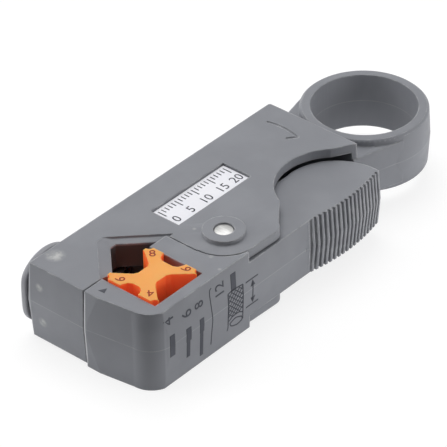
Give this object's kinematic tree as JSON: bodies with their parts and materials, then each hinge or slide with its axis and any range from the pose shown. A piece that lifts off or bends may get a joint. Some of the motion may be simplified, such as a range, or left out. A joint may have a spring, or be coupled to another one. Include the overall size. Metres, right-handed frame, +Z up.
{
  "type": "rotary coaxial cable stripper",
  "caption": "Hand tool that trims coaxial cable: moulded body with a finger ring, a sprung lever with a ribbed thumb pad, a lift-out V block and a blade cartridge.",
  "frame": {"origin": "centre of the bounding box at its lowest face, the tool lying flat on its underside with the lever closed", "axes": "+X along the tool from the jaws to the finger ring, +Y to the back edge away from the lever, +Z up through the top plate"},
  "size_m": [0.1038, 0.0352, 0.0193],
  "materials": {
    "body_grey": "moulded engineering plastic with a fine matt grain",
    "lever_grey": "moulded engineering plastic with a fine matt grain",
    "label": "plain white printed sticker",
    "rivet_steel": "bright nickel plated",
    "cartridge_black": "moulded",
    "cover_grey": "moulded, matt",
    "screw_steel": "dark zinc",
    "disc_grey": "moulded, matt",
    "spring_steel": "drawn wire",
    "slide_black": "moulded",
    "blade_steel": "ground edge",
    "block_orange": "moulded, slightly translucent"
  },
  "bodies": {
    "base": {"body": "body_grey", "label": "label", "pivot_rivet": "rivet_steel", "rivet_washer": "rivet_steel", "cartridge": "cartridge_black", "cartridge_cover": "cover_grey", "cover_screws": "screw_steel", "disc_screw": "screw_steel"},
    "lever": {"lever": "lever_grey", "lever_spring": "spring_steel"},
    "block": {"cable_block": "block_orange"},
    "disc": {"retaining_disc": "disc_grey"},
    "blade_unit_1": {"blade_slide_1": "slide_black", "blade_1": "blade_steel"},
    "blade_unit_2": {"blade_slide_2": "slide_black", "blade_2": "blade_steel"},
    "blade_unit_3": {"blade_slide_3": "slide_black", "blade_3": "blade_steel"},
    "screw_1": {"adjust_screw_1": "screw_steel"},
    "screw_2": {"adjust_screw_2": "screw_steel"},
    "screw_3": {"adjust_screw_3": "screw_steel"}
  },
  "joints": [
    {"name": "lever_squeeze", "type": "hinge", "parent": "base", "child": "lever", "pos_m": [-0.01822, -0.00747, 0.0095], "axis": [0, 0, 1], "range_deg": [0, 14], "stiffness_Nm_per_rad": 0.6, "springref_deg": -14.32},
    {"name": "block_lift", "type": "slide", "parent": "lever", "child": "block", "axis": [0, 0, 1], "range_m": [0, 0.018]},
    {"name": "disc_turn", "type": "hinge", "parent": "base", "child": "disc", "pos_m": [-0.04362, 0.01673, 0.0095], "axis": [0, -1, 0], "range_deg": [0, 70]},
    {"name": "screw_turn_1", "type": "hinge", "parent": "base", "child": "screw_1", "pos_m": [-0.03402, 0.01372, 0.0042], "axis": [0, 1, 0], "range_deg": [-480, 240]},
    {"name": "screw_turn_2", "type": "hinge", "parent": "base", "child": "screw_2", "pos_m": [-0.03402, 0.01372, 0.0072], "axis": [0, 1, 0], "range_deg": [-480, 240]},
    {"name": "screw_turn_3", "type": "hinge", "parent": "base", "child": "screw_3", "pos_m": [-0.03402, 0.01372, 0.0102], "axis": [0, 1, 0], "range_deg": [-480, 240]},
    {"name": "blade_depth_1", "type": "slide", "parent": "base", "child": "blade_unit_1", "axis": [0, 1, 0], "range_m": [-0.0006, 0.0003]},
    {"name": "blade_depth_2", "type": "slide", "parent": "base", "child": "blade_unit_2", "axis": [0, 1, 0], "range_m": [-0.0006, 0.0003]},
    {"name": "blade_depth_3", "type": "slide", "parent": "base", "child": "blade_unit_3", "axis": [0, 1, 0], "range_m": [-0.0006, 0.0003]}
  ],
  "couplings": [
    {"joint": "screw_turn_1", "follows": "blade_depth_1", "rad_per_m": 13963},
    {"joint": "screw_turn_2", "follows": "blade_depth_2", "rad_per_m": 13963},
    {"joint": "screw_turn_3", "follows": "blade_depth_3", "rad_per_m": 13963}
  ]
}
